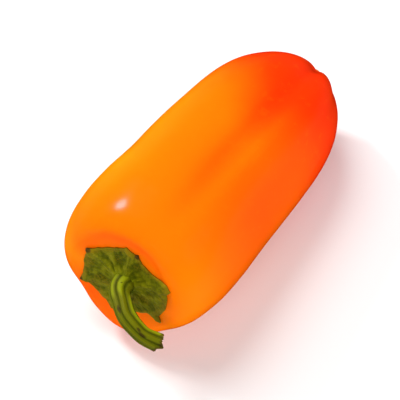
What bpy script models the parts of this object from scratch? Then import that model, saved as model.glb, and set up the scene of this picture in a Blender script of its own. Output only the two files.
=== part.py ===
"""Mini sweet pepper, as picked: one pod lying on its side, with its calyx and its stem.

Everything grows along one line, the growth line. It is +X here, from the stem end to the blossom
end. The three pieces are shaped along it, and one empty then tips the pepper onto the flat spot
that it rests on. The origin is the middle of that spot, and +Z is up.
"""

import math
from collections import namedtuple

import bmesh
import bpy
import numpy as np
from mathutils import Matrix, Vector

# Driving dimensions. Lengths are in metres and angles in degrees. The flat spot is where the
# lowest part of the belly is cut off, and neighbouring pieces keep a gap.
POD_LENGTH = 0.0825
POD_RADIUS = 0.0203
REST_DEPTH = 0.0004
NOSE_DOWN = 4.7
GAP = 0.0003

# The pod's outline from stem end to blossom end: (share of the length, share of the radius).
# The stem end is dished inside a rounded lip, and the blossom end closes round a small nub.
OUTLINE = (
    (0.016, 0.000),
    (0.016, 0.130),
    (0.013, 0.330),
    (0.006, 0.480),
    (-0.001, 0.590),
    (-0.003, 0.675),
    (0.004, 0.755),
    (0.020, 0.825),
    (0.046, 0.880),
    (0.080, 0.922),
    (0.130, 0.960),
    (0.190, 0.990),
    (0.290, 1.000),
    (0.420, 0.970),
    (0.580, 0.915),
    (0.720, 0.852),
    (0.810, 0.768),
    (0.880, 0.635),
    (0.930, 0.480),
    (0.965, 0.310),
    (0.980, 0.150),
    (0.982, 0.085),
    (0.989, 0.055),
    (1.002, 0.040),
    (1.008, 0.000),
)
SPANS_PER_POINT = 12

# The pod's faces around and along it, and how strongly its rings crowd where the outline bends.
POD_AROUND = 64
POD_ALONG = 54
RING_CROWDING = 0.9

# The pod's middle sways sideways, as it swells more on one flank.
SWAY = 0.0012

# The stem end is skewed: it slopes back towards this angle, from a far edge that keeps its place,
# and the skew fades out along the pod.
SKEW = 0.12
SKEW_ANGLE = 112
SKEW_EDGE = 0.014
SKEW_REACH = 0.030

# A furrow runs from the calyx to the blossom end between two lobes. Angles are about the growth
# line, 0 towards +Y and 90 upwards. Depths are at the shoulder, the middle and the blossom end.
Furrow = namedtuple("Furrow", "angle drift shoulder middle tip half_width")
FURROWS = (
    Furrow(angle=106, drift=2, shoulder=0.0003, middle=0.0011, tip=0.0013, half_width=17),
    Furrow(angle=226, drift=6, shoulder=0.0013, middle=0.0008, tip=0.0014, half_width=24),
    Furrow(angle=318, drift=14, shoulder=0.0012, middle=0.0010, tip=0.0013, half_width=22),
    Furrow(angle=148, drift=12, shoulder=0.0001, middle=0.0008, tip=0.0006, half_width=15),
    Furrow(angle=290, drift=-4, shoulder=0.0003, middle=0.0005, tip=0.0003, half_width=13),
)
FURROW_STATIONS = (0.04, 0.40, 0.90)

# Towards each end the relief fades out: (share of the radius with none, share with all of it).
STEM_END_FADE = (0.25, 0.62)
BLOSSOM_END_FADE = (0.06, 0.42)

# A swelling lifts the skin round one spot: a share of the length along it, an angle, a height,
# and its reach along and around.
Swelling = namedtuple("Swelling", "along angle height reach_along reach_around")
SWELLINGS = (
    Swelling(along=0.06, angle=16, height=0.0008, reach_along=0.12, reach_around=30),
    Swelling(along=0.10, angle=172, height=0.0006, reach_along=0.16, reach_around=30),
    Swelling(along=0.76, angle=40, height=0.0007, reach_along=0.16, reach_around=40),
    Swelling(along=0.66, angle=190, height=0.0007, reach_along=0.20, reach_around=40),
    Swelling(along=0.36, angle=30, height=-0.0007, reach_along=0.12, reach_around=34),
)

# The calyx's points: (angle, reach over the pod's skin, how far the edge draws in between this
# point and the next, as a share of the reach).
CALYX_POINTS = (
    (30, 0.0122, 0.14),
    (88, 0.0117, 0.05),
    (104, 0.0110, 0.22),
    (152, 0.0141, 0.06),
    (212, 0.0129, 0.20),
    (270, 0.0108, 0.14),
    (332, 0.0133, 0.17),
)
CALYX_AROUND = 72
CALYX_ALONG = 32
ON_RIM = 1e-6

# It is a plate with a rounded rim, a rib to each point, and a neck under the stem. Nothing of it
# stands over a cone that falls away from the neck's flat top at this slope.
CALYX_PLATE = 0.0009
CALYX_RIM_STARTS = 0.92
CALYX_RIB = 0.0005
CALYX_RIB_HALF_WIDTH = 9
NECK_RADIUS = 0.0028
NECK_HEIGHT = 0.0009
NECK_FLARE = 0.0018
NECK_SLOPE = 0.6

# The points that the stem's middle line passes, from the neck to the cut. Each is how far it
# stands out of the pod, then how far it has bent sideways, to -Y, and down.
STEM_PATH = (
    (0.00000, 0.00000, 0.00000),
    (0.00100, 0.00006, 0.00000),
    (0.00194, 0.00039, -0.00003),
    (0.00274, 0.00098, -0.00011),
    (0.00339, 0.00174, -0.00022),
    (0.00403, 0.00275, -0.00032),
    (0.00501, 0.00426, -0.00032),
    (0.00638, 0.00623, -0.00019),
    (0.00738, 0.00884, 0.00028),
    (0.00769, 0.01201, 0.00128),
    (0.00665, 0.01536, 0.00238),
)
STEM_SPANS = 4

# Its girth at those points, as a share of its radius, and its ribs, which twist along it.
STEM_RADIUS = 0.0021
STEM_GIRTH = (1.12, 1.11, 1.10, 1.09, 1.10, 1.12, 1.13, 1.11, 1.06, 1.03, 1.12)
STEM_TWIST = 35
STEM_RIBS = 7
STEM_RIB_DEPTH = 0.13
STEM_SIDES = 42

Finish = namedtuple("Finish", "colour roughness coat")
POD_SKIN = Finish(colour=(1.0, 0.235, 0.006), roughness=0.24, coat=0.6)
CALYX_GREEN = Finish(colour=(0.098, 0.165, 0.018), roughness=0.55, coat=0.0)
STEM_GREEN = Finish(colour=(0.165, 0.270, 0.028), roughness=0.42, coat=0.1)


def smooth_line(points, spans):
    """Points on a curve that passes through all the given ones (a Catmull-Rom spline)."""
    held = np.array(points, float)
    held = np.vstack([2 * held[0] - held[1], held, 2 * held[-1] - held[-2]])
    line = []
    for before, start, end, after in zip(held, held[1:], held[2:], held[3:]):
        for t in np.arange(spans) / spans:
            bend = 2 * before - 5 * start + 4 * end - after
            twist = -before + 3 * start - 3 * end + after
            line.append(0.5 * (2 * start + (end - before) * t + bend * t**2 + twist * t**3))
    line.append(held[-2])
    return np.array(line)


def bell(distance, reach):
    """A smooth hump: 1 in its middle, and almost nothing at twice its reach."""
    return math.exp(-((distance / reach) ** 2))


def ease(value, low, high):
    """0 below low, 1 above high, and a smooth rise between them."""
    t = min(max((value - low) / (high - low), 0.0), 1.0)
    return t * t * (3 - 2 * t)


def turn_between(a, b):
    """The smaller angle between two directions, in degrees."""
    return (a - b + 180) % 360 - 180


class Pod:
    """The pod's skin as a formula: a point for each distance along it and angle around it."""

    def __init__(self):
        line = smooth_line(OUTLINE, SPANS_PER_POINT) * (POD_LENGTH, POD_RADIUS)
        steps = np.hypot(*np.diff(line, axis=0).T)
        self.x, self.r = line.T
        self.along = np.concatenate([[0.0], np.cumsum(steps)])
        tangent = np.gradient(line, self.along, axis=0)
        tangent /= np.hypot(*tangent.T)[:, None]
        self.out_x, self.out_r = -tangent[:, 1], tangent[:, 0]
        heading = np.unwrap(np.arctan2(tangent[:, 1], tangent[:, 0]))
        turns = np.abs(np.diff(heading))
        pace = steps / steps.sum() + RING_CROWDING * turns / turns.sum()
        self.pace = np.concatenate([[0.0], np.cumsum(pace / pace.sum())])

    def ring(self, share):
        """How far along the skin a ring lies, when rings crowd where the outline bends."""
        return np.interp(share, self.pace, self.along)

    def relief(self, x, r, angle):
        """How far the skin stands off the plain turned outline, from furrows and swellings."""
        share = min(max(x / POD_LENGTH, 0.0), 1.0)
        height = 0.0
        for furrow in FURROWS:
            depths = (furrow.shoulder, furrow.middle, furrow.tip)
            depth = np.interp(share, FURROW_STATIONS, depths)
            away = turn_between(angle, furrow.angle + furrow.drift * share)
            height -= depth * bell(away, furrow.half_width)
        for swelling in SWELLINGS:
            away = turn_between(angle, swelling.angle)
            near = bell(share - swelling.along, swelling.reach_along)
            height += swelling.height * near * bell(away, swelling.reach_around)
        smooth_within, full_beyond = STEM_END_FADE if share < 0.5 else BLOSSOM_END_FADE
        return height * ease(r / POD_RADIUS, smooth_within, full_beyond)

    def point(self, along, angle):
        """A point of the skin, in metres, at a distance along the outline from the stem end."""
        x = np.interp(along, self.along, self.x)
        r = np.interp(along, self.along, self.r)
        height = self.relief(x, r, angle)
        x_off = height * np.interp(along, self.along, self.out_x)
        r_off = height * np.interp(along, self.along, self.out_r)
        sway = SWAY * math.sin(math.pi * min(max(x / POD_LENGTH, 0.0), 1.0))
        turn = math.radians(angle)
        across = r + r_off
        set_back = SKEW * (across * math.cos(turn - math.radians(SKEW_ANGLE)) + SKEW_EDGE)
        lengthwise = x + x_off + set_back * (1 - ease(x, 0, SKEW_REACH))
        return Vector((lengthwise, across * math.cos(turn) + sway, across * math.sin(turn)))

    def normal(self, along, angle):
        """The skin's outward direction there, from its slopes along and around."""
        step, turn = 0.0004, 2.0
        forward = self.point(along + step, angle) - self.point(max(along - step, 0.0), angle)
        around = self.point(along, angle + turn) - self.point(along, angle - turn)
        found = around.cross(forward)
        return found.normalized() if found.length > 1e-12 else Vector((-1, 0, 0))


def calyx_reach(angle):
    """(how far the calyx reaches along the skin at this angle, how near a point of it is)."""
    turned = sorted(CALYX_POINTS)
    ends = turned[1:] + [(turned[0][0] + 360, *turned[0][1:])]
    lifted = angle % 360
    if lifted < turned[0][0]:
        lifted += 360
    for (start, reach, draw), (end, next_reach, _) in zip(turned, ends):
        if start <= lifted <= end:
            share = (lifted - start) / (end - start)
            edge = reach + (next_reach - reach) * ease(share, 0, 1)
            nearest = min(lifted - start, end - lifted)
            return edge * (1 - draw * math.sin(math.pi * share) ** 0.8), nearest
    raise ValueError(f"no edge of the calyx at {angle} degrees")


def build_pod(pod):
    """The pod as one closed mesh, from a sphere whose rings follow the outline."""
    mesh = bmesh.new()
    bmesh.ops.create_uvsphere(mesh, u_segments=POD_AROUND, v_segments=POD_ALONG, radius=1)
    for vertex in mesh.verts:
        share = math.acos(max(-1.0, min(1.0, vertex.co.z))) / math.pi
        angle = math.degrees(math.atan2(vertex.co.y, vertex.co.x))
        vertex.co = pod.point(pod.ring(share), angle)
    return mesh


def build_calyx(pod):
    """The calyx: a sphere flattened onto the shoulder, its far half lying along the skin."""
    mesh = bmesh.new()
    bmesh.ops.create_uvsphere(mesh, u_segments=CALYX_AROUND, v_segments=CALYX_ALONG, radius=1)
    middle = pod.point(0, 0).x
    neck_top = middle - GAP - CALYX_PLATE - NECK_HEIGHT
    for vertex in mesh.verts:
        angle = math.degrees(math.atan2(vertex.co.y, vertex.co.x))
        tilt = math.asin(min(1.0, math.hypot(vertex.co.x, vertex.co.y)))
        share = (tilt / (math.pi / 2) + math.sin(tilt)) / 2
        reach, from_point = calyx_reach(angle)
        along = share * reach
        skin, out = pod.point(along, angle), pod.normal(along, angle)
        if vertex.co.z < -ON_RIM:
            vertex.co = skin + out * GAP
            continue
        rim = min(max((share - CALYX_RIM_STARTS) / (1 - CALYX_RIM_STARTS), 0.0), 1.0)
        height = CALYX_PLATE * (1 + math.sqrt(1 - rim**2)) / 2
        rib = bell(from_point, CALYX_RIB_HALF_WIDTH) * ease(share, 0.15, 0.45) * (1 - rim)
        past_neck = max(along - NECK_RADIUS, 0)
        fillet = bell(past_neck, NECK_FLARE)
        vertex.co = skin + out * (GAP + height + CALYX_RIB * rib + NECK_HEIGHT * fillet)
        cone = neck_top - NECK_SLOPE * past_neck
        vertex.co.x = max(vertex.co.x, cone) if past_neck else neck_top
    bmesh.ops.reverse_faces(mesh, faces=mesh.faces[:])
    return mesh, neck_top


def stem_curve(neck_top):
    """The stem's middle line as a smooth curve with its girth, and the ribbed outline it sweeps."""
    outline = bpy.data.curves.new("stem_outline", "CURVE")
    outline.dimensions = "2D"
    ring = outline.splines.new("POLY")
    ring.points.add(STEM_SIDES - 1)
    ring.use_cyclic_u = True
    for number, point in enumerate(ring.points):
        turn = -2 * math.pi * number / STEM_SIDES
        rib = 1 - STEM_RIB_DEPTH * (1 - abs(math.cos(STEM_RIBS * turn / 2)))
        point.co = (
            STEM_RADIUS * rib * math.cos(turn),
            STEM_RADIUS * rib * math.sin(turn),
            0,
            1,
        )
    profile = bpy.data.objects.new("stem_outline", outline)
    profile.hide_render = True
    profile.display_type = "WIRE"

    path = [(neck_top - GAP - out, -side, -down) for out, side, down in STEM_PATH]
    line = smooth_line(path, STEM_SPANS)
    girths = smooth_line([(girth, 0) for girth in STEM_GIRTH], STEM_SPANS)[:, 0]
    curve = bpy.data.curves.new("stem", "CURVE")
    curve.dimensions = "3D"
    curve.twist_mode = "MINIMUM"
    curve.bevel_mode = "OBJECT"
    curve.bevel_object = profile
    curve.use_fill_caps = True
    spline = curve.splines.new("POLY")
    spline.points.add(len(line) - 1)
    for number, (point, place, girth) in enumerate(zip(spline.points, line, girths)):
        point.co = (*place, 1)
        point.radius = girth
        point.tilt = math.radians(STEM_TWIST) * number / (len(line) - 1)
    return curve, profile


def make_material(name, finish):
    """A plain Principled finish."""
    material = bpy.data.materials.new(name)
    material.use_nodes = True
    shader = material.node_tree.nodes["Principled BSDF"]
    shader.inputs["Base Color"].default_value = (*finish.colour, 1)
    shader.inputs["Roughness"].default_value = finish.roughness
    shader.inputs["Metallic"].default_value = 0.0
    shader.inputs["Coat Weight"].default_value = finish.coat
    material.diffuse_color = (*finish.colour, 1)
    return material


def lay_down(mesh):
    """The matrix that tips the pod nose down and rests it, cutting its flat spot on the way."""
    tip = Matrix.Rotation(math.radians(NOSE_DOWN), 4, "Y")
    lowest = min((tip @ vertex.co).z for vertex in mesh.verts)
    floor = lowest + REST_DEPTH
    back = tip.inverted()
    cut = bmesh.ops.bisect_plane(
        mesh,
        geom=mesh.verts[:] + mesh.edges[:] + mesh.faces[:],
        dist=1e-7,
        plane_co=back @ Vector((0, 0, floor)),
        plane_no=back.to_3x3() @ Vector((0, 0, -1)),
        clear_outer=True,
    )
    rim = [item for item in cut["geom_cut"] if isinstance(item, bmesh.types.BMEdge)]
    spot = bmesh.ops.contextual_create(mesh, geom=rim)["faces"][0]
    bmesh.ops.recalc_face_normals(mesh, faces=mesh.faces[:])
    middle = tip @ spot.calc_center_median_weighted()
    return Matrix.Translation((-middle.x, -middle.y, -floor)) @ tip


def add_object(name, data, finish, collection, parent):
    """An object with its material, riding on the empty that lays the pepper down."""
    data.materials.append(make_material(name + "_finish", finish))
    made = bpy.data.objects.new(name, data)
    made.parent = parent
    collection.objects.link(made)
    return made


def mesh_data(name, mesh, smooth_angle):
    """A bmesh as smooth-shaded mesh data."""
    data = bpy.data.meshes.new(name)
    mesh.to_mesh(data)
    mesh.free()
    data.shade_smooth()
    data.set_sharp_from_angle(angle=math.radians(smooth_angle))
    return data


def main():
    for old in list(bpy.data.objects):
        bpy.data.objects.remove(old)
    pepper = bpy.data.collections.new("mini_sweet_pepper")
    guides = bpy.data.collections.new("guides")
    bpy.context.scene.collection.children.link(pepper)
    bpy.context.scene.collection.children.link(guides)

    pod = Pod()
    pod_mesh = build_pod(pod)
    calyx_mesh, neck_top = build_calyx(pod)
    stem, outline = stem_curve(neck_top)
    guides.objects.link(outline)

    growth_line = bpy.data.objects.new("growth_line", None)
    growth_line.matrix_world = lay_down(pod_mesh)
    pepper.objects.link(growth_line)

    add_object("pod", mesh_data("pod", pod_mesh, 40), POD_SKIN, pepper, growth_line)
    add_object("calyx", mesh_data("calyx", calyx_mesh, 40), CALYX_GREEN, pepper, growth_line)
    add_object("stem", stem, STEM_GREEN, pepper, growth_line)


main()
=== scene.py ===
"""Mini sweet pepper: the looks of one orange pod lying on its side, with its calyx and its stem.

Everything grows along one line, the growth line. It is +X in the pepper's own frame, from the stem
end to the blossom end, and angles about it are 0 towards +Y and 90 upwards. Each piece starts as a
closed lattice that knows only how far along and around each of its points lies. A tree of geometry
nodes then lays the points out, and the finished mesh is tipped onto its flat spot.
"""

import logging
import math
from dataclasses import dataclass
from enum import Enum
from typing import Any, Callable, Mapping, Sequence

import bpy
import numpy as np
from mathutils import Matrix, Vector


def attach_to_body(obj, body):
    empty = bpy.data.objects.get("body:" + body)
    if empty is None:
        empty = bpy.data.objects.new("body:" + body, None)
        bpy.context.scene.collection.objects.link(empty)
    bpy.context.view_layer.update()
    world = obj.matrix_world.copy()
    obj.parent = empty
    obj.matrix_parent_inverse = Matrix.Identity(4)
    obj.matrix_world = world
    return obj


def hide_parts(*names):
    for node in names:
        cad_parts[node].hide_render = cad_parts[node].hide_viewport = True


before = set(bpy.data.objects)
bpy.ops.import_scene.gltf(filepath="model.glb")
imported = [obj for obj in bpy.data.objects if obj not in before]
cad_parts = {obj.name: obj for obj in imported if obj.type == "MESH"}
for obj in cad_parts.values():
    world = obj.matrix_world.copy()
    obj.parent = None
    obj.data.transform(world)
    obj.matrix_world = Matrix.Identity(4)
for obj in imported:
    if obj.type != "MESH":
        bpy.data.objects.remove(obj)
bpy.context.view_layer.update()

Colour = tuple[float, float, float]
Point = tuple[float, float, float]

# The pepper's own frame as it lies: nose down about Y, then moved onto the flat spot.
NOSE_DOWN = math.radians(4.7)
LAID_AT: Point = (-0.039007, -0.000781, 0.021976)

# The gap that neighbouring pieces keep.
GAP = 0.0003

log = logging.getLogger("pepper")


class Side(Enum):
    """Which face of the calyx a point of its lattice is on."""

    TOP = 0
    UNDER = 1


# Node trees


def math_node(operation: str, swapped: bool = False) -> Callable[..., "Wire"]:
    """Makes a method of Wire that adds one Math node.

    Args:
        operation: The node's operation.
        swapped: Whether the wire comes after the other value, as in 1 - mask.

    Returns:
        The method, which takes the wire and then the node's other values.
    """

    def method(wire: "Wire", *others: Any) -> "Wire":
        """The output of a Math node on the wire and the other values."""
        values = (*others, wire) if swapped else (wire, *others)
        return wire.does(operation, *values)

    return method


class Wire:
    """A socket of a node tree. Sums on it add the nodes that they need."""

    __add__ = __radd__ = math_node("ADD")
    __sub__ = math_node("SUBTRACT")
    __rsub__ = math_node("SUBTRACT", swapped=True)
    __mul__ = __rmul__ = math_node("MULTIPLY")
    __abs__ = math_node("ABSOLUTE")
    exp = math_node("EXPONENT")
    sin = math_node("SINE")
    cos = math_node("COSINE")
    root = math_node("SQRT")
    at_least = math_node("MAXIMUM")
    at_most = math_node("MINIMUM")

    def __init__(self, tree: "Tree", socket: bpy.types.NodeSocket) -> None:
        """Keeps the socket and its tree."""
        self.tree = tree
        self.socket = socket

    def does(self, operation: str, *values: Any) -> "Wire":
        """A Math node on the values, in their order."""
        sockets = dict(enumerate(values))
        return self.tree.wire("ShaderNodeMath", 0, {"operation": operation}, sockets)

    def __neg__(self) -> "Wire":
        """This with its sign changed."""
        return self * -1.0

    def clamp(self) -> "Wire":
        """This held between 0 and 1."""
        return self.at_least(0.0).at_most(1.0)

    def turned(self) -> "Wire":
        """This angle in degrees, brought between -180 and 180."""
        return self.does("WRAP", self, 180.0, -180.0)

    def radians(self) -> "Wire":
        """This angle in degrees, in radians."""
        return self * (math.pi / 180.0)

    def rise(self, low: float, high: float, smooth: bool = True) -> "Wire":
        """A rise from 0 to 1 as this goes from low to high.

        Args:
            low: Where the rise starts.
            high: Where it ends.
            smooth: Whether it starts and ends gently.

        Returns:
            The risen value, held between 0 and 1.
        """
        kind = "SMOOTHSTEP" if smooth else "LINEAR"
        settings = {"interpolation_type": kind, "clamp": True}
        return self.tree.wire("ShaderNodeMapRange", "Result", settings, {0: self, 1: low, 2: high})

    def bell(self, reach: float) -> "Wire":
        """A smooth hump: 1 where this is 0, and almost nothing at twice its reach."""
        away = self * (1.0 / reach)
        return (-(away * away)).exp()

    def near(self, value: float, reach: float) -> "Wire":
        """A bell round a value."""
        return (self - value).bell(reach)

    def facing(self, angle: float, reach: float) -> "Wire":
        """A bell round an angle in degrees, where this is an angle too."""
        return (self - angle).turned().bell(reach)


class Tree:
    """A node tree, and the one way in which nodes are added to it."""

    def __init__(self, nodes: bpy.types.NodeTree) -> None:
        """Keeps the tree of nodes."""
        self.nodes = nodes

    def add(
        self,
        kind: str,
        settings: Mapping[str, Any] | None = None,
        sockets: Mapping[Any, Any] | None = None,
    ) -> bpy.types.Node:
        """Adds a node.

        Args:
            kind: The node's type.
            settings: Its own properties, set first.
            sockets: Values or wires for its inputs, by name or number.

        Returns:
            The new node.
        """
        node = self.nodes.nodes.new(kind)
        for name, value in (settings or {}).items():
            setattr(node, name, value)
        for name, value in (sockets or {}).items():
            self.feed(node.inputs[name], value)
        return node

    def wire(self, kind: str, output: Any, settings: Any = None, sockets: Any = None) -> Wire:
        """Adds a node as add does, and returns the output with that name or number."""
        return Wire(self, self.add(kind, settings, sockets).outputs[output])

    def feed(self, socket: bpy.types.NodeSocket, value: Any) -> None:
        """Links a wire to a socket, or sets the socket's value.

        Args:
            socket: The input socket.
            value: A wire, a socket or a plain value.
        """
        source = value.socket if isinstance(value, Wire) else value
        if isinstance(source, bpy.types.NodeSocket):
            self.nodes.links.new(source, socket)
        elif socket.type == "RGBA" and len(source) == 3:
            socket.default_value = (*source, 1.0)
        else:
            socket.default_value = source

    def mix(self, share: Any, first: Any, second: Any) -> Wire:
        """Two colours mixed: share says how much there is of the second."""
        settings = {"data_type": "RGBA", "clamp_factor": True}
        return self.wire("ShaderNodeMix", 2, settings, {0: share, 6: first, 7: second})

    def layered(self, colour: Any, layers: Sequence[tuple[Wire, Colour]]) -> Wire:
        """A colour with others laid over it, one after another.

        Args:
            colour: The lowest colour.
            layers: Each layer's share of the surface, and its colour.

        Returns:
            The colour that shows.
        """
        for share, over in layers:
            colour = self.mix(share, colour, over)
        return colour

    def vector(self, operation: str, *values: Any) -> Wire:
        """A Vector Math node on the values, in their order."""
        sockets = dict(enumerate(values))
        return self.wire("ShaderNodeVectorMath", "Vector", {"operation": operation}, sockets)

    def scaled(self, vector: Wire, size: Any) -> Wire:
        """A vector times a number."""
        return self.wire("ShaderNodeVectorMath", 0, {"operation": "SCALE"}, {0: vector, 3: size})

    def joined(self, x: Any, y: Any, z: Any) -> Wire:
        """A vector from its three parts."""
        return self.wire("ShaderNodeCombineXYZ", 0, None, {0: x, 1: y, 2: z})

    def parts(self, vector: Wire) -> tuple[Wire, Wire, Wire]:
        """A vector's three parts."""
        node = self.add("ShaderNodeSeparateXYZ", None, {0: vector})
        return tuple(Wire(self, output) for output in node.outputs)

    def noise(self, place: Any, scale: float, detail: float = 2.0, rough: float = 0.5) -> Wire:
        """Noise about 0.5 at a place: lumps per metre, finer layers, and how strong these are."""
        sockets = {"Vector": place, "Scale": scale, "Detail": detail, "Roughness": rough}
        return self.wire("ShaderNodeTexNoise", 0, {"noise_dimensions": "3D"}, sockets)


class ShapeTree(Tree):
    """A tree of geometry nodes with named inputs and outputs."""

    def __init__(self, name: str) -> None:
        """Makes an empty tree of that name."""
        super().__init__(bpy.data.node_groups.new(name, "GeometryNodeTree"))
        self.entry = self.nodes.nodes.new("NodeGroupInput")
        self.exit = self.nodes.nodes.new("NodeGroupOutput")

    def given(self, name: str, kind: str = "Float") -> Wire:
        """Adds a named input, of a kind as in the names of socket types."""
        self.nodes.interface.new_socket(name, in_out="INPUT", socket_type="NodeSocket" + kind)
        return Wire(self, self.entry.outputs[name])

    def gives(self, name: str, kind: str, value: Wire) -> None:
        """Adds a named output, of a kind as in the names of socket types, and links its value."""
        self.nodes.interface.new_socket(name, in_out="OUTPUT", socket_type="NodeSocket" + kind)
        self.feed(self.exit.inputs[name], value)

    def numbers(self, *names: str) -> list[Wire]:
        """Adds an input for each of some numbers."""
        return [self.given(name) for name in names]

    def curve(self, name: str) -> Wire:
        """Adds a named input for a guide, and gives the guide as a curve."""
        sockets = {"Object": self.given(name, "Object")}
        line = self.wire("GeometryNodeObjectInfo", "Geometry", None, sockets)
        return self.wire("GeometryNodeMeshToCurve", 0, None, {0: line})

    def attributes(self, *names: str) -> list[Wire]:
        """Reads some of the numbers that the points carry."""
        kind, settings = "GeometryNodeInputNamedAttribute", {"data_type": "FLOAT"}
        return [self.wire(kind, 0, settings, {"Name": name}) for name in names]

    def outputs(self, node: bpy.types.Node, *names: str) -> list[Wire]:
        """Some of a node's outputs."""
        return [Wire(self, node.outputs[name]) for name in names]

    def lay(self, ball: Wire, place: Wire, values: Mapping[str, Wire], material: Wire) -> None:
        """Ends the tree: the lattice laid out as real geometry, in one material.

        Args:
            ball: The lattice.
            place: Where its points go.
            values: The numbers that they carry from here on, by attribute name.
            material: The material input.
        """
        sockets = {"Geometry": ball, "Position": place}
        shape = self.wire("GeometryNodeSetPosition", 0, None, sockets)
        settings = {"data_type": "FLOAT", "domain": "POINT"}
        for name, value in values.items():
            sockets = {"Geometry": shape, "Name": name, "Value": value}
            shape = self.wire("GeometryNodeStoreNamedAttribute", 0, settings, sockets)
        shape = self.wire("GeometryNodeRealizeInstances", 0, None, {0: shape})
        shape = self.wire("GeometryNodeSetMaterial", 0, None, {0: shape, "Material": material})
        self.gives("Geometry", "Geometry", shape)


@dataclass(frozen=True)
class Spot:
    """A place on a piece: how far along, at what angle, its reach both ways, and its strength."""

    along: float
    reach_along: float
    angle: float
    reach_around: float
    strength: float = 1.0

    def on(self, along: Wire, angle: Wire) -> Wire:
        """How much of it there is at a point, by the point's place along and its angle."""
        near = along.near(self.along, self.reach_along) * self.strength
        return near * angle.facing(self.angle, self.reach_around)


# Lattices and lines


def ease(value: float, low: float, high: float) -> float:
    """0 below low, 1 above high, and a smooth rise between them."""
    share = min(max((value - low) / (high - low), 0.0), 1.0)
    return share * share * (3.0 - 2.0 * share)


def smooth_line(points: Sequence[Sequence[float]], spans: int) -> np.ndarray:
    """Points on a curve that passes through all the given ones (a Catmull-Rom spline).

    Args:
        points: The points to pass.
        spans: How many steps there are from each to the next.

    Returns:
        The curve's points, one to a row.
    """
    held = np.array(points, float)
    held = np.vstack([2 * held[0] - held[1], held, 2 * held[-1] - held[-2]])
    line = []
    for before, start, end, after in zip(held, held[1:], held[2:], held[3:]):
        for t in np.arange(spans) / spans:
            bend = 2 * before - 5 * start + 4 * end - after
            twist = -before + 3 * start - 3 * end + after
            line.append(0.5 * (2 * start + (end - before) * t + bend * t**2 + twist * t**3))
    line.append(held[-2])
    return np.array(line)


def line_mesh(name: str, points: np.ndarray, values: Mapping[str, np.ndarray]) -> bpy.types.Object:
    """A row of points joined by edges, for a tree to follow.

    Args:
        name: The object's name.
        points: The points, one to a row.
        values: Numbers for the points, by attribute name.

    Returns:
        The object, in the scene.
    """
    mesh = bpy.data.meshes.new(name)
    edges = [(number, number + 1) for number in range(len(points) - 1)]
    mesh.from_pydata([tuple(point) for point in points], edges, [])
    return placed(name, mesh, values)


def closed_lattice(
    name: str, rings: int, sides: int, values: Mapping[str, np.ndarray]
) -> bpy.types.Object:
    """A closed ball of rings between two poles, its first pole towards -X.

    Args:
        name: The object's name.
        rings: How many steps there are from pole to pole.
        sides: How many points there are in a ring.
        values: Numbers for the points, by attribute name: rows are rings, columns are sides.

    Returns:
        The object, in the scene.
    """
    tilt = np.linspace(0, math.pi, rings + 1)[1:-1]
    turn = np.arange(sides) * 2 * math.pi / sides
    x = -np.cos(tilt)[:, None] * np.ones(sides)
    y = np.sin(tilt)[:, None] * np.cos(turn)
    z = np.sin(tilt)[:, None] * np.sin(turn)
    ball = np.stack([x, y, z], axis=2).reshape(-1, 3)
    points = np.vstack([[-1.0, 0.0, 0.0], ball, [1.0, 0.0, 0.0]])
    last = len(points) - 1
    faces: list[tuple[int, ...]] = []
    for side in range(sides):
        beside = (side + 1) % sides
        faces.append((0, 1 + beside, 1 + side))
        for ring in range(rings - 2):
            low, high = 1 + ring * sides, 1 + (ring + 1) * sides
            faces.append((low + side, low + beside, high + beside, high + side))
        end = 1 + (rings - 2) * sides
        faces.append((end + side, end + beside, last))
    mesh = bpy.data.meshes.new(name)
    mesh.from_pydata([tuple(point) for point in points], [], faces)
    flat = {}
    for key, grid in values.items():
        flat[key] = np.concatenate([[grid[0, 0]], grid[1:-1].ravel(), [grid[-1, 0]]])
    return placed(name, mesh, flat)


def shown(name: str, data: bpy.types.ID) -> bpy.types.Object:
    """A new object in the scene.

    Args:
        name: Its name.
        data: Its mesh, light or camera.

    Returns:
        The object.
    """
    made = bpy.data.objects.new(name, data)
    bpy.context.scene.collection.objects.link(made)
    return made


def placed(name: str, mesh: bpy.types.Mesh, values: Mapping[str, np.ndarray]) -> bpy.types.Object:
    """An object for a mesh, with numbers on its points.

    Args:
        name: The object's name.
        mesh: Its mesh.
        values: Numbers for the points, by attribute name.

    Returns:
        The object, in the scene.
    """
    for key, numbers in values.items():
        layer = mesh.attributes.new(key, "FLOAT", "POINT")
        layer.data.foreach_set("value", np.asarray(numbers, np.float32))
    return shown(name, mesh)


def ring_grid(rings: int, sides: int) -> tuple[np.ndarray, np.ndarray]:
    """The share from pole to pole and the angle in degrees, for each point of a lattice."""
    share = np.linspace(0, 1, rings + 1)[:, None] * np.ones(sides)
    angle = np.ones(rings + 1)[:, None] * (np.arange(sides) * 360.0 / sides)
    return share, (angle + 180) % 360 - 180


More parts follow.
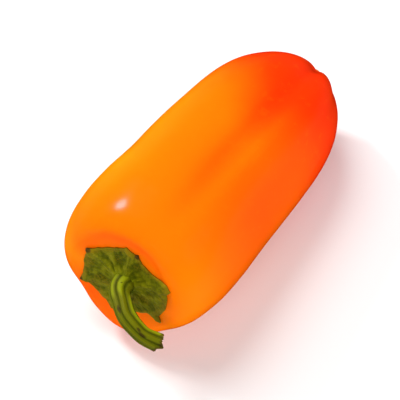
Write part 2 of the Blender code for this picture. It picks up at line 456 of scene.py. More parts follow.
def grown(
    name: str, lattice: bpy.types.Object, shape: ShapeTree, values: Mapping[str, Any]
) -> bpy.types.Object:
    """Runs a tree on a lattice and keeps the plain mesh that it gives, laid down.

    Args:
        name: The new piece's name.
        lattice: The object that the tree starts from, which is removed.
        shape: The tree.
        values: Its inputs, by name.

    Returns:
        The finished piece, at the origin.
    """
    modifier = lattice.modifiers.new("growth", "NODES")
    modifier.node_group = shape.nodes
    for item in shape.nodes.interface.items_tree:
        if item.name in values:
            modifier[item.identifier] = values[item.name]
    bpy.context.view_layer.update()
    graph = bpy.context.evaluated_depsgraph_get()
    mesh = bpy.data.meshes.new_from_object(
        lattice.evaluated_get(graph), preserve_all_data_layers=True, depsgraph=graph
    )
    bpy.data.objects.remove(lattice)
    mesh.name = name
    mesh.transform(Matrix.Translation(LAID_AT) @ Matrix.Rotation(NOSE_DOWN, 4, "Y"))
    heights = np.zeros(len(mesh.vertices) * 3, np.float32)
    mesh.vertices.foreach_get("co", heights)
    heights[2::3] = np.maximum(heights[2::3], 0.0)
    mesh.vertices.foreach_set("co", heights)
    mesh.shade_smooth()
    mesh.update()
    return shown(name, mesh)


# Finishes


class Finish:
    """A finish that goes over a whole piece, patterned in the pepper's own frame."""

    name: str = "finish"
    gloss: float = 0.5
    gloss_tint: Colour = (1.0, 1.0, 1.0)
    coat: float = 0.0
    coat_roughness: float = 0.03
    glow: float = 0.0
    glow_reach: Colour = (1.0, 0.2, 0.1)
    glow_depth: float = 0.005
    relief: float = 0.0001

    def material(self) -> bpy.types.Material:
        """Makes the material.

        Returns:
            The material, with its nodes.
        """
        made = bpy.data.materials.new(self.name)
        made.use_nodes = True
        tree = Tree(made.node_tree)
        made.node_tree.nodes.clear()
        shader = self.paint(tree)
        tree.add("ShaderNodeOutputMaterial", None, {"Surface": shader.outputs[0]})
        return made

    def paint(self, tree: Tree) -> bpy.types.Node:
        """Adds the finish's nodes and returns its shader."""
        raise NotImplementedError

    def place(self, tree: Tree) -> Wire:
        """The point in the pepper's own frame, before it was laid down."""
        here = tree.wire("ShaderNodeTexCoord", "Object")
        sockets = {"Vector": here, "Location": LAID_AT, "Rotation": (0.0, NOSE_DOWN, 0.0)}
        return tree.wire("ShaderNodeMapping", 0, {"vector_type": "TEXTURE"}, sockets)

    def read(self, tree: Tree, name: str) -> Wire:
        """A number that the piece's points carry."""
        return tree.wire("ShaderNodeAttribute", "Fac", {"attribute_name": name})

    def shader(self, tree: Tree, colour: Wire, shine: Wire, height: Wire) -> bpy.types.Node:
        """The Principled shader: three patterns, and what is the same all over.

        Args:
            tree: The material's tree.
            colour: The colour.
            shine: The roughness.
            height: The fine relief, from 0 to 1.

        Returns:
            The shader's node.
        """
        bump = {"Height": height, "Strength": 1.0, "Distance": self.relief}
        sockets = {
            "Base Color": colour,
            "Roughness": shine,
            "Normal": tree.wire("ShaderNodeBump", 0, None, bump),
            "Specular IOR Level": self.gloss,
            "Specular Tint": self.gloss_tint,
            "Coat Weight": self.coat,
            "Coat Roughness": self.coat_roughness,
            "Subsurface Weight": self.glow,
            "Subsurface Radius": self.glow_reach,
            "Subsurface Scale": self.glow_depth,
        }
        return tree.add("ShaderNodeBsdfPrincipled", None, sockets)


@dataclass(frozen=True)
class PodSkin(Finish):
    """Waxy orange skin: golden on one lobe, partly with painted light; deeper across and reddest at
    the tip, partly with painted shade; painted shade in its furrows, in the crease round the calyx
    and low on the stem end; painted light on two patches near the stem end.
    """

    name: str = "waxy_orange_skin"
    lemon_lit: Colour = (1.0, 0.365, 0.001)
    gold_and_lit: Colour = (1.0, 0.205, 0.001)
    orange: Colour = (1.0, 0.150, 0.001)
    deep_and_shaded: Colour = (1.0, 0.088, 0.001)
    ember_and_shade: Colour = (1.0, 0.032, 0.001)
    scar: Colour = (0.62, 0.27, 0.05)
    roughness: float = 0.18
    gloss: float = 0.14
    gloss_tint: Colour = (1.0, 0.26, 0.50)
    coat: float = 0.04
    coat_roughness: float = 0.12
    glow: float = 0.20
    glow_reach: Colour = (1.0, 0.35, 0.05)
    glow_depth: float = 0.0025
    relief: float = 0.00002
    length: float = 0.0825
    patch_scale: float = 70.0
    wave_scale: float = 300.0
    mottle_scale: float = 420.0
    grain_scale: float = 2600.0
    drift: float = 30.0
    lit_cheek: Spot = Spot(0.07, 0.08, 168.0, 40.0)
    low: Spot = Spot(0.01, 0.06, 215.0, 32.0)
    late_bands: tuple[tuple[float, float, float], ...] = (
        (46.0, 36.0, 0.11), (158.0, 22.0, 0.09), (71.0, 14.0, 0.04),
    )

    def paint(self, tree: Tree) -> bpy.types.Node:
        """Adds the skin's nodes.

        Args:
            tree: The material's tree.

        Returns:
            The Principled shader.
        """
        place = self.place(tree)
        x, y, z = tree.parts(place)
        share = x * (1.0 / self.length)
        angle = z.does("ARCTAN2", z, y) * (180.0 / math.pi)
        patch = tree.noise(place, self.patch_scale)
        mottle = tree.noise(place, self.mottle_scale, 3.0, 0.6)
        wave = tree.noise(place, self.wave_scale, 1.0)
        grain = tree.noise(place, self.grain_scale)
        drift = (patch - 0.5) * self.drift
        # Where each colour lies, by the share of the length from the stem end and by the angle.
        # Golden lobe: partly the skin's own gold and partly painted light on the upper lobe that
        # faces the light, fading by a third past the middle as painted shade.
        low_side = (30.0 - angle).at_least(0.0).at_most(24.0) * 0.0067
        golden_lit_lobe = (angle - 22.7 + drift * 0.4).turned().bell(31.6)
        golden_lit_lobe = golden_lit_lobe * (share + low_side).rise(0.0, 0.32)
        golden_lit_lobe = golden_lit_lobe * (1.0 - share.rise(0.34, 0.50) * 0.3)
        # Deeper across the far flank: partly the skin's own deeper orange and partly painted shade
        # on the side that turns from the light.
        across = (angle - 158.0 + drift * 0.5).turned().bell(38.0) * share.rise(0.12, 0.42)
        # Painted shade: deeper orange low on the underside of the stem end.
        under = angle.facing(262.0, 50.0) * (1.0 - share.rise(0.05, 0.2))
        # Painted shade in the furrows: deeper orange, and ember red towards the tip, by how deep
        # the skin lies there.
        hollow = self.read(tree, "hollow").rise(0.2, 1.5)
        # Towards the tip the skin turns ember red, partly its own ripening and partly painted
        # shade; this starts further on along some bands: their angle, their reach and the delay.
        late = sum(angle.facing(middle, reach) * delay for middle, reach, delay in self.late_bands)
        red_tip_and_shade = (share - late + (patch - 0.5) * 0.08).rise(0.455, 0.755)
        layers = (
            (golden_lit_lobe * 0.95, self.lemon_lit),
            (across * 0.85, self.deep_and_shaded),
            # Painted light: a gold patch on the lower shoulder near the stem end, where the front
            # light falls.
            (self.lit_cheek.on(share, angle) * 0.95, self.gold_and_lit),
            (hollow * 0.60, self.deep_and_shaded),
            (under * 0.6, self.deep_and_shaded),
            # Painted light: a gold patch low on the stem end.
            (self.low.on(share, angle) * 0.9, self.gold_and_lit),
            (red_tip_and_shade * 0.97, self.ember_and_shade),
            (hollow * share.rise(0.50, 0.74) * 0.75, self.ember_and_shade),
            # Painted shade along the crease round the calyx.
            (self.read(tree, "crease") * 0.5, self.deep_and_shaded),
            (mottle.rise(0.55, 0.75) * 0.10, self.gold_and_lit),
            (self.read(tree, "nub").rise(0.2, 0.9) * 0.7, self.scar),
        )
        shine = self.roughness + (mottle - 0.5) * 0.06 + (wave - 0.5) * 0.04
        colour = tree.layered(self.orange, layers)
        return self.shader(tree, colour, shine, wave * 0.85 + grain * 0.15)


@dataclass(frozen=True)
class LeafSkin(Finish):
    """The calyx's leathery skin: mottled olive, with paler folds and dry brown edges and tips."""

    name: str = "leathery_olive_leaf"
    dark: Colour = (0.062, 0.073, 0.001)
    olive: Colour = (0.164, 0.165, 0.002)
    pale: Colour = (0.256, 0.232, 0.010)
    tan: Colour = (0.230, 0.150, 0.004)
    fresh: Colour = (0.190, 0.225, 0.004)
    dry: Colour = (0.055, 0.026, 0.007)
    roughness: float = 0.58
    gloss: float = 0.07
    gloss_tint: Colour = (1.0, 0.95, 0.45)
    glow: float = 0.08
    glow_reach: Colour = (0.5, 1.0, 0.1)
    glow_depth: float = 0.0008
    relief: float = 0.00022
    broad_scale: float = 230.0
    blotch_scale: float = 560.0
    fine_scale: float = 2400.0

    def paint(self, tree: Tree) -> bpy.types.Node:
        """Adds the leaf's nodes.

        Args:
            tree: The material's tree.

        Returns:
            The Principled shader.
        """
        place = self.place(tree)
        broad = tree.noise(place, self.broad_scale, 1.0)
        blotch = tree.noise(place, self.blotch_scale, 3.0, 0.6)
        fine = tree.noise(place, self.fine_scale, 3.0, 0.6)
        names = ("vein", "edge", "fold", "tip", "neck")
        vein, edge, fold, tip, neck = (self.read(tree, name) for name in names)
        light = blotch * 0.45 + fold * 0.35 + broad * 0.2
        spots = (1.0 - broad).rise(0.52, 0.66) * fine.rise(0.4, 0.6)
        layers = (
            (light.rise(0.38, 0.60), self.olive),
            ((light + fine * 0.3).rise(0.66, 0.90) * 0.85, self.pale),
            (vein * (fine.rise(0.35, 0.65) * 0.45), self.pale),
            (spots * 0.5, self.tan),
            (neck * (fold * 0.5 + 0.3), self.fresh),
            ((edge + (blotch - 0.5) * 0.5).rise(0.80, 1.05) * 0.75, self.tan),
            ((tip + (blotch - 0.5) * 0.3).rise(0.40, 0.85) * 0.9, self.dry),
        )
        shine = self.roughness + (fine - 0.5) * 0.2
        colour = tree.layered(self.dark, layers)
        return self.shader(tree, colour, shine, fine * 0.6 + blotch * 0.4)


@dataclass(frozen=True)
class StemSkin(Finish):
    """The stem's skin: yellow-green ridges, made bright with painted light on the lit side and
    round the base, dark furrows, a few brown scuffs, a dry cut.
    """

    name: str = "ribbed_green_stem"
    dark: Colour = (0.052, 0.061, 0.001)
    green: Colour = (0.118, 0.122, 0.002)
    highlight_green: Colour = (0.198, 0.228, 0.003)
    scuff: Colour = (0.034, 0.020, 0.004)
    cut: Colour = (0.150, 0.100, 0.020)
    roughness: float = 0.50
    gloss: float = 0.12
    gloss_tint: Colour = (1.0, 0.95, 0.45)
    glow: float = 0.1
    glow_reach: Colour = (0.5, 1.0, 0.1)
    glow_depth: float = 0.0010
    relief: float = 0.00009
    patch_scale: float = 420.0
    crumb_scale: float = 1300.0
    fine_scale: float = 2600.0

    def paint(self, tree: Tree) -> bpy.types.Node:
        """Adds the stem's nodes.

        Args:
            tree: The material's tree.

        Returns:
            The Principled shader.
        """
        place = self.place(tree)
        streak = (tree.noise(place, self.patch_scale, 3.0, 0.6) - 0.5) * 0.5
        crumb = tree.noise(place, self.crumb_scale, 3.0, 0.7) - 0.5
        fine = tree.noise(place, self.fine_scale, 3.0, 0.6)
        names = ("ridge", "lit_rib", "torn", "scuffed")
        ridge, lit_rib, torn, scuffed = (self.read(tree, name) for name in names)
        layers = (
            ((ridge + streak).rise(0.15, 0.85), self.green),
            # Painted light on the lit ridges.
            ((lit_rib + streak * 0.6).rise(0.25, 0.85), self.highlight_green),
            ((scuffed + streak + crumb * 0.9).rise(0.38, 0.78) * 0.85, self.scuff),
            (torn.rise(0.35, 0.75), self.cut),
            ((torn + (fine - 0.5) * 0.6).rise(0.75, 1.1) * 0.5, self.scuff),
        )
        shine = self.roughness + (fine - 0.5) * 0.2 + torn * 0.3
        return self.shader(tree, tree.layered(self.dark, layers), shine, fine)


@dataclass(frozen=True)
class FloorPaper(Finish):
    """Plain white paper under the pepper."""

    name: str = "white_paper"
    white: Colour = (0.86, 0.86, 0.86)
    roughness: float = 0.95
    gloss: float = 0.1

    def paint(self, tree: Tree) -> bpy.types.Node:
        """Adds the paper's one shader."""
        sockets = {"Base Color": self.white, "Roughness": self.roughness}
        sockets["Specular IOR Level"] = self.gloss
        return tree.add("ShaderNodeBsdfPrincipled", None, sockets)


# The pepper's pieces


@dataclass(frozen=True)
class Furrow:
    """A furrow from the calyx to the blossom end: angles in degrees and depths in metres."""

    angle: float
    drift: float
    shoulder: float
    middle: float
    tip: float
    half_width: float


@dataclass
class Pod:
    """The pod: an outline turned about the growth line, furrowed, swollen and skewed at one end."""

    length: float = 0.0825
    radius: float = 0.0203
    sway: float = 0.0012
    skew: float = 0.12
    skew_angle: float = 112.0
    skew_edge: float = 0.014
    skew_reach: float = 0.030
    rings: int = 300
    sides: int = 288
    crowding: float = 0.9
    outline: tuple[tuple[float, float], ...] = (
        (0.016, 0.000), (0.016, 0.130), (0.013, 0.330), (0.006, 0.480), (-0.001, 0.590),
        (-0.003, 0.675), (0.004, 0.755), (0.020, 0.825), (0.046, 0.880), (0.080, 0.922),
        (0.130, 0.960), (0.190, 0.990), (0.290, 1.000), (0.420, 0.970), (0.580, 0.915),
        (0.720, 0.852), (0.810, 0.768), (0.880, 0.635), (0.930, 0.480), (0.965, 0.310),
        (0.980, 0.150), (0.982, 0.085), (0.989, 0.055), (1.002, 0.040), (1.008, 0.000),
    )
    furrows: tuple[Furrow, ...] = (
        Furrow(104, 2, 0.0003, 0.0006, 0.0010, 20),
        Furrow(109, 2, 0.0000, 0.0010, 0.0006, 9),
        Furrow(226, 6, 0.0013, 0.0008, 0.0014, 24),
        Furrow(318, 14, 0.0012, 0.0010, 0.0013, 22),
        Furrow(148, 12, 0.0001, 0.0008, 0.0006, 15),
        Furrow(290, -4, 0.0003, 0.0005, 0.0003, 13),
    )
    swellings: tuple[Spot, ...] = (
        Spot(0.06, 0.12, 16, 30, 0.0008),
        Spot(0.10, 0.16, 172, 30, 0.0006),
        Spot(0.76, 0.16, 40, 40, 0.0007),
        Spot(0.66, 0.20, 190, 40, 0.0007),
        Spot(0.36, 0.12, 30, 34, -0.0007),
        Spot(0.45, 0.18, 124, 9, 0.0003),
    )
    fade_at_stem: tuple[float, float] = (0.25, 0.62)
    fade_at_tip: tuple[float, float] = (0.06, 0.42)
    slope_step: float = 0.0004
    slope_turn: float = 2.0
    crease_at: float = 0.0126
    crease_wander: float = 0.004
    crease_width: float = 0.0013
    crease_depth: float = 0.00018
    lump_scale: float = 95.0
    lumps: float = 0.00010
    pleats: float = 0.00016
    skin: PodSkin = PodSkin()
    guide: bpy.types.Object | None = None
    group: ShapeTree | None = None
    path_length: np.ndarray | None = None
    pace: np.ndarray | None = None

    def lay_out(self) -> None:
        """Makes the outline that the trees follow, and the group that gives a point of the skin."""
        line = smooth_line(self.outline, 12) * (self.length, self.radius)
        steps = np.hypot(*np.diff(line, axis=0).T)
        self.path_length = np.concatenate([[0.0], np.cumsum(steps)])
        heading = np.unwrap(np.arctan2(*np.diff(line, axis=0).T[::-1]))
        turns = np.concatenate([[0.0], np.abs(np.diff(heading))])
        pace = steps / steps.sum() + self.crowding * turns / turns.sum()
        self.pace = np.concatenate([[0.0], np.cumsum(pace / pace.sum())])
        points = np.stack([line[:, 0], np.zeros(len(line)), line[:, 1]], axis=1)
        self.guide = line_mesh("outline_guide", points, {})
        self.group = self.skin_group()

    def relief(self, x: Wire, r: Wire, angle: Wire) -> Wire:
        """How far the skin stands off the plain turned outline.

        Args:
            x: The distance along the growth line, in metres.
            r: The distance from it.
            angle: The angle about it, in degrees.

        Returns:
            The height in metres.
        """
        share = (x * (1.0 / self.length)).clamp()
        early, late = share.rise(0.04, 0.40, False), share.rise(0.40, 0.90, False)
        height: Any = 0.0
        for furrow in self.furrows:
            depth = early * (furrow.middle - furrow.shoulder) + furrow.shoulder
            depth = depth + late * (furrow.tip - furrow.middle)
            away = (angle - furrow.angle - share * furrow.drift).turned()
            height = height - depth * away.bell(furrow.half_width)
        for swelling in self.swellings:
            height = height + swelling.on(share, angle)
        whole = r * (1.0 / self.radius)
        front = share.rise(0.499, 0.501)
        at_stem = whole.rise(*self.fade_at_stem) * (1.0 - front)
        return height * (at_stem + whole.rise(*self.fade_at_tip) * front)

    def skin_group(self) -> ShapeTree:
        """The group that gives a point of the skin.

        Returns:
            A tree whose inputs are the outline, a distance along it and an angle.
        """
        tree = ShapeTree("skin_point")
        outline = tree.given("Outline", "Geometry")
        along, angle = tree.numbers("Along", "Angle")
        sockets = {"Curves": outline, "Length": along}
        sample = tree.add("GeometryNodeSampleCurve", {"mode": "LENGTH"}, sockets)
        position, tangent = tree.outputs(sample, "Position", "Tangent")
        x, _, r = tree.parts(position)
        heading_x, _, heading_r = tree.parts(tangent)
        height = self.relief(x, r, angle)
        across = r + height * heading_x
        forward = x - height * heading_r
        turn = angle.radians()
        sway = ((x * (1.0 / self.length)).clamp() * math.pi).sin() * self.sway
        leaning = (turn - math.radians(self.skew_angle)).cos()
        set_back = (across * leaning + self.skew_edge) * self.skew
        forward = forward + set_back * (1.0 - x.rise(0.0, self.skew_reach))
        point = tree.joined(forward, across * turn.cos() + sway, across * turn.sin())
        tree.gives("Point", "Vector", point)
        tree.gives("Height", "Float", height)
        tree.gives("Growth", "Float", x)
        return tree

    def skin_at(self, tree: ShapeTree, outline: Wire, along: Any, angle: Any) -> list[Wire]:
        """Adds the group to a tree.

        Args:
            tree: The tree that needs a point of the skin.
            outline: The outline as a curve.
            along: The distance along it.
            angle: The angle, in degrees.

        Returns:
            The point, how far it stands off the outline, and its distance along the growth line.
        """
        sockets = {"Outline": outline, "Along": along, "Angle": angle}
        node = tree.add("GeometryNodeGroup", {"node_tree": self.group.nodes}, sockets)
        return tree.outputs(node, "Point", "Height", "Growth")

    def normal_at(self, tree: ShapeTree, outline: Wire, along: Wire, angle: Wire) -> Wire:
        """The skin's outward direction, from its slopes along and around.

        Args:
            tree, outline, along, angle: As for skin_at.

        Returns:
            A vector one metre long.
        """
        ends = []
        step, around = self.slope_step, self.slope_turn
        for far, turn in ((step, 0.0), (-step, 0.0), (0.0, around), (0.0, -around)):
            ends.append(self.skin_at(tree, outline, (along + far).at_least(0.0), angle + turn)[0])
        forward = tree.vector("SUBTRACT", ends[0], ends[1])
        sideways = tree.vector("SUBTRACT", ends[2], ends[3])
        return tree.vector("NORMALIZE", tree.vector("CROSS_PRODUCT", sideways, forward))

    def middle(self) -> float:
        """How far along the growth line the middle of the dished end lies."""
        x = self.outline[0][0] * self.length
        return x + self.skew * self.skew_edge * (1 - ease(x, 0, self.skew_reach))

    def shape(self) -> ShapeTree:
        """The tree that lays the pod's lattice out.

        Returns:
            The tree.
        """
        tree = ShapeTree("pod_growth")
        ball = tree.given("Geometry", "Geometry")
        outline = tree.curve("Outline")
        finish = tree.given("Finish", "Material")
        crease_depth, lumps, pleats = tree.numbers("Crease Depth", "Lumps", "Pleats")
        along, angle = tree.attributes("along", "angle")
        point, relief, x = self.skin_at(tree, outline, along, angle)
        growth = x * (1.0 / self.length)
        wander = (tree.noise(point, 120.0, 1.0) - 0.5) * self.crease_wander
        # The crease round the calyx: a shallow dip in the skin, along which the skin paints shade.
        crease = (along - self.crease_at + wander).bell(self.crease_width)
        crease = crease * angle.facing(100.0, 75.0)
        lump = (tree.noise(point, self.lump_scale, 2.0, 0.4) - 0.5) * 2.0 * growth.rise(0.04, 0.25)
        pinch = growth.rise(0.955, 0.985) * (1.0 - growth.rise(0.995, 1.004))
        turn = angle.radians()
        pleat = ((turn * 5.0).sin() + (turn * 3.0 + 1.0).sin() * 0.6) * pinch * pleats
        height = lump * lumps - crease * crease_depth + pleat
        normal = self.normal_at(tree, outline, along, angle)
        moved = tree.vector("ADD", point, tree.scaled(normal, height))
        nub = growth.rise(0.975, 1.004)
        # The furrow depth and the crease go on to the skin, which paints shade in both.
        values = {"hollow": -(relief * 1000.0), "crease": crease, "nub": nub}
        tree.lay(ball, moved, values, finish)
        return tree

    def build(self) -> bpy.types.Object:
        """Builds the pod.

        Returns:
            The piece, which replaces the plain pod.
        """
        share, angle = ring_grid(self.rings, self.sides)
        along = np.interp(share, self.pace, self.path_length)
        grids = {"along": along, "angle": angle}
        lattice = closed_lattice("pod_lattice", self.rings, self.sides, grids)
        values = {
            "Outline": self.guide,
            "Finish": self.skin.material(),
            "Crease Depth": self.crease_depth,
            "Lumps": self.lumps,
            "Pleats": self.pleats,
        }
        return grown("pepper_pod", lattice, self.shape(), values)


@dataclass
class Calyx:
    """The calyx: a leathery plate on the pod's shoulder, with a vein to each of its points."""

    pod: Pod
    margin: tuple[tuple[float, float], ...] = (
        (15, 0.0112), (23, 0.0114), (28, 0.0122), (33, 0.0109), (48, 0.0099), (66, 0.0095),
        (80, 0.0103), (87, 0.0110), (95, 0.0100), (101, 0.0100), (104, 0.0105), (108, 0.0096),
        (117, 0.0086), (127, 0.0089), (135, 0.0094), (141, 0.0107), (145, 0.0124), (150, 0.0131),
        (157, 0.0136), (162, 0.0126), (173, 0.0124), (190, 0.0117), (205, 0.0112), (210, 0.0114),
        (214, 0.0127), (218, 0.0108), (229, 0.0095), (246, 0.0090), (264, 0.0097), (283, 0.0107),
        (296, 0.0100), (309, 0.0104), (322, 0.0112), (328, 0.0121), (332, 0.0132), (338, 0.0119),
        (350, 0.0110), (361, 0.0108),
    )
    tips: tuple[float, ...] = (28, 104, 332)
    veins: tuple[float, ...] = (28, 96, 157, 214, 264, 332)
    nicks: float = 0.00012
    plate: float = 0.0009
    rim_starts: float = 0.92
    rib: float = 0.0005
    rib_half_width: float = 9.0
    neck_radius: float = 0.0021
    neck_height: float = 0.0009
    neck_flare: float = 0.0018
    neck_slope: float = 0.6
    crinkle: float = 0.00030
    wave: float = 0.00012
    seat: float = 0.00003
    fan_along: float = 170.0
    fan_around: float = 2.6
    fine_scale: float = 1300.0
    wave_scale: float = 160.0
    half_rings: int = 64
    sides: int = 360
    skin: LeafSkin = LeafSkin()

    def neck_top(self) -> float:
        """How far along the growth line the flat top of the neck lies."""
        return self.pod.middle() - GAP - self.plate - self.neck_height

    def reach(self, angle: np.ndarray) -> np.ndarray:
        """How far the calyx reaches over the skin at some angles, with its small nicks."""
        turns, reaches = np.array(self.margin).T
        edge = np.interp(angle % 360, turns, reaches, period=360)
        turn = np.radians(angle)
        coarse = np.sin(17 * turn) * np.sin(5 * turn + 1.0)
        ragged = coarse + np.sin(43 * turn + 2.2) * np.sin(3 * turn) ** 3
        return edge + ragged * self.nicks

    def nearest(self, angle: np.ndarray, marks: Sequence[float]) -> np.ndarray:
        """How many degrees each angle is from the nearest of some marks."""
        away = (angle[..., None] - np.array(marks) + 180) % 360 - 180
        return np.abs(away).min(axis=-1)

    def flat_pattern(self) -> bpy.types.Object:
        """The lattice, with each point's place on the skin and its height over it.

        Returns:
            The lattice as an object.
        """
        rings = 2 * self.half_rings
        share, angle = ring_grid(rings, self.sides)
        side = np.where(share > 0.5 + 1e-9, Side.UNDER.value, Side.TOP.value)
        tilt = np.minimum(share, 1 - share) * math.pi
        outward = (tilt / (math.pi / 2) + np.sin(tilt)) / 2
        values = {
            "along": outward * self.reach(angle),
            "angle": angle,
            "outward": outward,
            "from_vein": self.nearest(angle, self.veins),
            "from_tip": self.nearest(angle, self.tips),
            "under": side.astype(float),
        }
        return closed_lattice("calyx_lattice", rings, self.sides, values)

    def shape(self) -> ShapeTree:
        """The tree that lays the calyx over the pod's shoulder.

        Returns:
            The tree.
        """
        tree = ShapeTree("calyx_growth")
        ball = tree.given("Geometry", "Geometry")
        outline = tree.curve("Outline")
        finish = tree.given("Finish", "Material")
        plate, neck_top, crinkle, wave = tree.numbers("Plate", "Neck Top", "Crinkle", "Wave")
        along, angle, outward, under = tree.attributes("along", "angle", "outward", "under")
        from_vein, from_tip = tree.attributes("from_vein", "from_tip")
        skin = self.pod.skin_at(tree, outline, along, angle)[0]
        normal = self.pod.normal_at(tree, outline, along, angle)
        rim = outward.rise(self.rim_starts, 1.0, False)
        round_rim = ((1.0 - rim * rim).root() + 1.0) * 0.5
        spread = outward.rise(0.15, 0.45)
        main_vein = from_vein.bell(self.rib_half_width) * spread
        turn, wide = angle.radians(), self.fan_around
        fan = tree.joined(along * self.fan_along, turn.cos() * wide, turn.sin() * wide)
        fold = (tree.noise(fan, 1.6, 3.0, 0.6) - 0.5) * 3.4 * spread
        net = abs(tree.noise(fan, 2.9) - 0.5).rise(0.0, 0.05)
        side_vein = (1.0 - net) * spread
        fine = (tree.noise(skin, self.fine_scale) - 0.5) * 2.0 * spread
        lift = (tree.noise(skin, self.wave_scale, 0.0) - 0.5) * 2.0 * outward.rise(0.6, 1.0)
        past_neck = (along - self.neck_radius).at_least(0.0)
        fillet = past_neck.bell(self.neck_flare)
        thin = 1.0 - outward.rise(0.3, 0.9) * 0.5
        top = plate * round_rim * thin + main_vein * (1.0 - rim) * self.rib
        top = top + (side_vein * 0.4 + fold + fine * 0.35) * crinkle * (1.0 - rim)
        top = top + fillet * self.neck_height
        height = top * (1.0 - under) + lift.at_least(0.0) * wave + self.seat
        placed_at = tree.vector("ADD", skin, tree.scaled(normal, height))
        x, y, z = tree.parts(placed_at)
        neck = 1.0 - along.rise(self.neck_radius, self.neck_radius + 1e-5)
        held = x.at_least(neck_top - past_neck * self.neck_slope)
        held = held * (1.0 - neck) + neck_top * neck
        x = held * (1.0 - under) + x * under
        values = {
            "vein": (main_vein * 0.6 + side_vein * 0.6).clamp(),
            "edge": outward,
            "tip": from_tip.bell(5.0) * outward.rise(0.86, 0.98),
            "neck": past_neck.bell(0.0013),
            "fold": fold * 0.5 + 0.5,
        }
        tree.lay(ball, tree.joined(x, y, z), values, finish)
        return tree

    def build(self) -> bpy.types.Object:
        """Builds the calyx.

        Returns:
            The piece, which replaces the plain calyx.
        """
        values = {
            "Outline": self.pod.guide,
            "Finish": self.skin.material(),
            "Plate": self.plate,
            "Neck Top": self.neck_top(),
            "Crinkle": self.crinkle,
            "Wave": self.wave,
        }
        return grown("pepper_calyx", self.flat_pattern(), self.shape(), values)


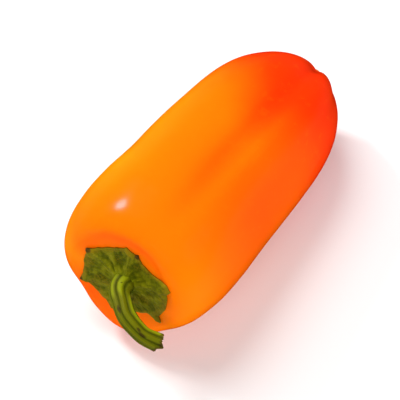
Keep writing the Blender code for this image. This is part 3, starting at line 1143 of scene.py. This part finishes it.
@dataclass
class Stem:
    """The stem: a ribbed, twisting stalk from the calyx's neck to its torn end."""

    calyx: Calyx
    radius: float = 0.0021
    swing: float = 30.0
    swing_ends: float = 0.55
    ribs: float = 7.0
    rib_depth: float = 0.15
    phase: float = 23.1
    tear: float = 0.0007
    collar: float = 0.18
    buttress: Spot = Spot(0.13, 0.12, -145.0, 52.0, 0.58)
    flap: float = 0.0013
    rings: int = 300
    sides: int = 168
    path: tuple[Point, ...] = (
        (-0.0014, 0.0, 0.0), (0.0, 0.0, 0.0), (0.00092, 0.00018, 0.0),
        (0.00176, 0.00064, -0.00003), (0.00253, 0.00128, -0.00011), (0.00319, 0.00203, -0.00022),
        (0.00387, 0.00296, -0.00032), (0.00496, 0.00433, -0.00032), (0.00638, 0.00623, -0.00019),
        (0.00738, 0.00884, 0.00028), (0.00769, 0.01201, 0.00128), (0.00665, 0.01536, 0.00238),
    )
    girth: tuple[float, ...] = (
        1.12, 1.12, 1.11, 1.10, 1.09, 1.10, 1.12, 1.13, 1.11, 1.06, 1.03, 1.12,
    )
    bruises: tuple[Spot, ...] = (
        Spot(0.455, 0.060, -43.0, 14.0),
        Spot(0.740, 0.035, -72.0, 10.0),
        Spot(0.800, 0.038, -58.0, 12.0),
        Spot(0.143, 0.014, -101.0, 7.0),
        Spot(0.910, 0.090, -52.0, 34.0, 0.42),
    )
    base_share: float = 0.08
    end_share: float = 0.80
    skin: StemSkin = StemSkin()

    def middle_line(self) -> bpy.types.Object:
        """The stem's middle line, with its girth on its points."""
        start = self.calyx.neck_top() - GAP
        points = [(start - out, -side, -down) for out, side, down in self.path]
        line = smooth_line(points, 10)
        girths = smooth_line([(girth, 0.0) for girth in self.girth], 10)[:, 0]
        return line_mesh("stem_guide", line, {"girth": girths})

    def stalk_lattice(self) -> bpy.types.Object:
        """The lattice: a flat base, the sides and the torn end, from pole to pole.

        Returns:
            The lattice as an object.
        """
        share, angle = ring_grid(self.rings, self.sides)
        base, end = self.base_share, self.end_share
        along = np.clip((share - base) / (end - base), 0, 1)
        spread = np.clip(share / base, 0, 1) * np.clip((1 - share) / (1 - end), 0, 1)
        values = {"along": along, "angle": angle, "spread": np.minimum(spread, 1.0)}
        values["on_end"] = np.clip((share - end) / (1 - end), 0, 1)
        return closed_lattice("stem_lattice", self.rings, self.sides, values)

    def shape(self) -> ShapeTree:
        """The tree that sweeps the ribbed stalk along its middle line.

        Returns:
            The tree.
        """
        tree = ShapeTree("stem_growth")
        ball = tree.given("Geometry", "Geometry")
        curve = tree.curve("Middle Line")
        finish = tree.given("Finish", "Material")
        radius, swing, depth = tree.numbers("Radius", "Swing", "Rib Depth")
        tear, flap = tree.numbers("Tear", "Flap")
        along, angle, girths = tree.attributes("along", "angle", "girth")
        spread, on_end = tree.attributes("spread", "on_end")
        settings = {"mode": "FACTOR", "data_type": "FLOAT"}
        sockets = {"Curves": curve, "Factor": along, "Value": girths}
        sample = tree.add("GeometryNodeSampleCurve", settings, sockets)
        centre, ahead, out, girth = tree.outputs(sample, "Position", "Tangent", "Normal", "Value")
        beside = tree.vector("CROSS_PRODUCT", ahead, out)
        swung = angle + (1.0 - along * (1.0 / self.swing_ends)).at_least(0.0) * swing
        turn = (swung + self.phase).radians()
        ridge = abs((turn * (self.ribs / 2.0)).cos())
        minor = abs((turn * (self.ribs * 1.5) + 0.6).cos())
        far = tree.joined(along * 0.022, turn.cos() * 0.0021, turn.sin() * 0.0021)
        knots = (tree.noise(far, 260.0) - 0.5) * 2.0
        drawn = tree.vector("MULTIPLY", far, (0.15, 1.0, 1.0))
        strands = (tree.noise(drawn, 2600.0) - 0.5) * 2.0
        cut_in = depth * (1.0 - along.bell(0.07) * 0.6)
        rib = 1.0 - cut_in * (1.0 - ridge) - cut_in * 0.22 * (1.0 - minor) + knots * 0.035
        rib = rib + strands * 0.02 * along.rise(0.03, 0.12)
        flare = (along * 0.0205).bell(0.0018) * self.collar
        girth_here = girth * (rib + flare + self.buttress.on(along, angle))
        frayed = on_end.bell(0.45) * along.rise(0.90, 1.0)
        ragged = tree.noise(tree.joined(turn.cos(), turn.sin(), 0.3), 2.6, 3.0, 0.7) - 0.42
        lip = angle.facing(-48.0, 22.0) - angle.facing(-5.0, 35.0) * 0.5
        push = ragged * frayed * 3.0 * tear - on_end.rise(0.1, 0.7) * tear + lip * frayed * flap
        reach = radius * girth_here * spread
        outwards = tree.scaled(out, angle.radians().cos() * reach)
        sideways = tree.scaled(beside, angle.radians().sin() * reach)
        point = tree.vector("ADD", centre, tree.vector("ADD", outwards, sideways))
        point = tree.vector("ADD", point, tree.scaled(ahead, push))
        base = 1.0 - along.rise(0.20, 0.42)
        # Painted light: the ridges on the side that faces the light, and round the base, are made
        # bright.
        lit_side = swung.facing(-126.0, 22.0) * along.rise(0.22, 0.40)
        lit_base = swung.facing(-74.6, 24.0) * base + swung.facing(-23.0, 24.0) * base * 0.8
        scuffed = along.rise(0.93, 1.0) * 0.7
        for bruise in self.bruises:
            scuffed = scuffed + bruise.on(along, angle)
        values = {
            "ridge": ridge * 0.8 + minor * 0.2,
            "lit_rib": (lit_side + lit_base) * ridge,
            "torn": on_end.rise(0.0, 0.12) + frayed * 0.5,
            "scuffed": scuffed,
        }
        tree.lay(ball, point, values, finish)
        return tree

    def build(self) -> bpy.types.Object:
        """Builds the stem.

        Returns:
            The piece, which replaces the plain stem.
        """
        guide = self.middle_line()
        values = {
            "Middle Line": guide,
            "Finish": self.skin.material(),
            "Radius": self.radius,
            "Swing": self.swing,
            "Rib Depth": self.rib_depth,
            "Tear": self.tear,
            "Flap": self.flap,
        }
        piece = grown("pepper_stem", self.stalk_lattice(), self.shape(), values)
        bpy.data.objects.remove(guide)
        return piece


# The studio


@dataclass(frozen=True)
class SoftLight:
    """A round studio light: where it hangs, its width and power, and if the skin mirrors it."""

    name: str
    azimuth: float
    elevation: float
    distance: float
    width: float
    watts: float
    mirrored: bool = False


@dataclass
class Studio:
    """The white floor, the soft lights and the camera at the photograph's angle."""

    target: Point = (-0.00584, -0.00022, 0.01766)
    azimuth: float = -55.3
    elevation: float = 54.4
    distance: float = 0.70
    window: float = 0.094
    sensor: float = 36.0
    floor_width: float = 6.0
    world_grey: float = 0.22
    paper: FloorPaper = FloorPaper()
    lights: tuple[SoftLight, ...] = (
        SoftLight("key_light", 177.8, 42.5, 0.60, 0.130, 2.4, mirrored=True),
        SoftLight("sky_light", 167.0, 66.0, 1.00, 0.60, 6.0),
        SoftLight("side_light", 10.0, 30.0, 1.00, 0.60, 5.0),
        SoftLight("front_light", -72.0, 30.0, 1.00, 0.60, 4.6),
    )

    def aim(self, thing: bpy.types.Object, place: "SoftLight | Studio") -> None:
        """Puts a light or the camera where its place says, and turns it to the pepper.

        Args:
            thing: The light or the camera.
            place: What gives its azimuth and elevation, in degrees, and its distance.
        """
        a, e = math.radians(place.azimuth), math.radians(place.elevation)
        back = Vector((math.sin(a) * math.cos(e), -math.cos(a) * math.cos(e), math.sin(e)))
        thing.location = Vector(self.target) + back * place.distance
        thing.rotation_euler = back.to_track_quat("Z", "Y").to_euler()

    def lay_floor(self) -> bpy.types.Object:
        """The floor, a plain sheet of white paper.

        Returns:
            The floor.
        """
        half = self.floor_width / 2
        mesh = bpy.data.meshes.new("floor")
        corners = [(-half, -half, 0.0), (half, -half, 0.0), (half, half, 0.0), (-half, half, 0.0)]
        mesh.from_pydata(corners, [], [(0, 1, 2, 3)])
        mesh.materials.append(self.paper.material())
        floor = shown("floor", mesh)
        floor.visible_glossy = False
        return floor

    def hang_lights(self) -> None:
        """The soft lights, and an even grey room round them."""
        for light in self.lights:
            data = bpy.data.lights.new(light.name, "AREA")
            data.shape = "DISK"
            data.size = light.width
            data.energy = light.watts
            made = shown(light.name, data)
            made.visible_glossy = light.mirrored
            self.aim(made, light)
        world = bpy.data.worlds.new("room")
        world.use_nodes = True
        background = world.node_tree.nodes["Background"]
        background.inputs["Color"].default_value = (1.0, 1.0, 1.0, 1.0)
        background.inputs["Strength"].default_value = self.world_grey
        bpy.context.scene.world = world
        world.cycles_visibility.glossy = False

    def set_camera(self) -> None:
        """The camera at the photograph's angle, and a plain colour response."""
        data = bpy.data.cameras.new("camera")
        data.sensor_width = self.sensor
        data.lens = self.sensor * self.distance / self.window
        data.clip_start = 0.01
        camera = shown("camera", data)
        self.aim(camera, self)
        bpy.context.scene.camera = camera
        bpy.context.scene.view_settings.view_transform = "Standard"


# The whole


def attach(piece: bpy.types.Object, node: str) -> None:
    """Puts a piece in its plain node's place, and reports it.

    Args:
        piece: The finished piece.
        node: The CAD node that it stands for.
    """
    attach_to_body(piece, "root")
    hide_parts(node)
    piece.data.calc_loop_triangles()
    log.info("%s replaces %s: %d triangles", piece.name, node, len(piece.data.loop_triangles))


def main() -> None:
    """Builds the pepper's pieces in order, and the studio round them."""
    logging.basicConfig(level=logging.INFO, format="%(message)s")
    studio = Studio()
    studio.set_camera()
    pod = Pod()
    pod.lay_out()
    calyx = Calyx(pod)
    stem = Stem(calyx)
    attach(pod.build(), "pod")
    attach(calyx.build(), "calyx")
    attach(stem.build(), "stem")
    bpy.data.objects.remove(pod.guide)
    studio.lay_floor()
    studio.hang_lights()


if __name__ == "__main__":
    main()
